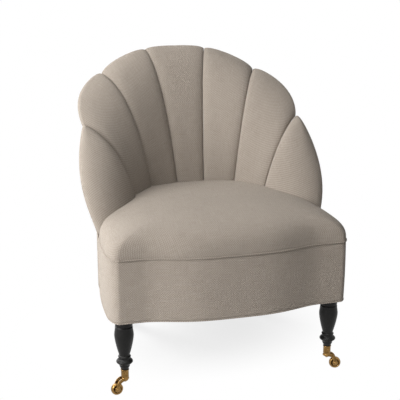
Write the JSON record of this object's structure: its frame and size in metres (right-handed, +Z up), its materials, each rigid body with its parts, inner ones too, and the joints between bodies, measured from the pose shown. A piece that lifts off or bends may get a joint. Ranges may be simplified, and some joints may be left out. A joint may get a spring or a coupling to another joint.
{
  "type": "slipper chair",
  "caption": "Low armless slipper chair with a channelled shell back, a bow-fronted crowned seat, turned dark front legs on brass cup casters and raked back legs.",
  "frame": {"origin": "on the floor, under the middle of the chair's overall width and depth", "axes": "+X to the chair's left-hand side as seen from the front (the viewer's right), +Y towards the back, +Z up; the sitter faces -Y"},
  "size_m": [0.6768, 0.7054, 0.8339],
  "materials": {
    "taupe_fabric": "fine woven taupe upholstery fabric",
    "padding": "cut foam and wadding",
    "lining": "thin black non-woven lining",
    "frame_wood": "unfinished hardwood and moulded ply",
    "black_lacquer": "near-black satin lacquer on turned wood",
    "brass": "aged polished brass",
    "steel": "zinc-plated steel"
  },
  "bodies": {
    "chair": {"front_rail": "frame_wood", "side_rails": "frame_wood", "back_rail": "frame_wood", "front_posts": "frame_wood", "leg_blocks": "frame_wood", "seat_springs": "steel", "spring_clips": "steel", "deck_cloth": "lining", "seat_foam": "padding", "seat_cover": "taupe_fabric", "seat_welt": "taupe_fabric", "apron_padding": "padding", "apron_band": "taupe_fabric", "bottom_piping": "taupe_fabric", "dust_cover": "lining", "inner_back_shell": "frame_wood", "back_ribs": "frame_wood", "outside_back": "taupe_fabric", "wing_pads": "taupe_fabric", "front_leg_left": "black_lacquer", "front_leg_right": "black_lacquer", "rear_leg_left": "black_lacquer", "rear_leg_right": "black_lacquer", "hanger_bolts": "steel", "rear_glides": "steel", "caster_cup_left": "brass", "caster_cup_right": "brass", "cup_screws_left": "brass", "cup_screws_right": "brass", "channel_1": "taupe_fabric", "channel_2": "taupe_fabric", "channel_3": "taupe_fabric", "channel_4": "taupe_fabric", "channel_5": "taupe_fabric", "channel_6": "taupe_fabric", "channel_7": "taupe_fabric"},
    "swivel_left": {"caster_fork_left": "brass", "caster_axle_left": "brass"},
    "wheel_left": {"caster_wheel_left": "brass"},
    "swivel_right": {"caster_fork_right": "brass", "caster_axle_right": "brass"},
    "wheel_right": {"caster_wheel_right": "brass"}
  },
  "joints": [
    {"name": "caster_swivel_left", "type": "hinge", "parent": "chair", "child": "swivel_left", "pos_m": [-0.28, -0.28, 0.04], "axis": [0, 0, 1], "continuous": true},
    {"name": "wheel_spin_left", "type": "hinge", "parent": "swivel_left", "child": "wheel_left", "pos_m": [-0.30241, -0.28517, 0.016], "axis": [0.225, -0.9744, 0], "continuous": true},
    {"name": "caster_swivel_right", "type": "hinge", "parent": "chair", "child": "swivel_right", "pos_m": [0.28, -0.28, 0.04], "axis": [0, 0, 1], "continuous": true},
    {"name": "wheel_spin_right", "type": "hinge", "parent": "swivel_right", "child": "wheel_right", "pos_m": [0.30241, -0.28517, 0.016], "axis": [0.225, 0.9744, 0], "continuous": true}
  ]
}
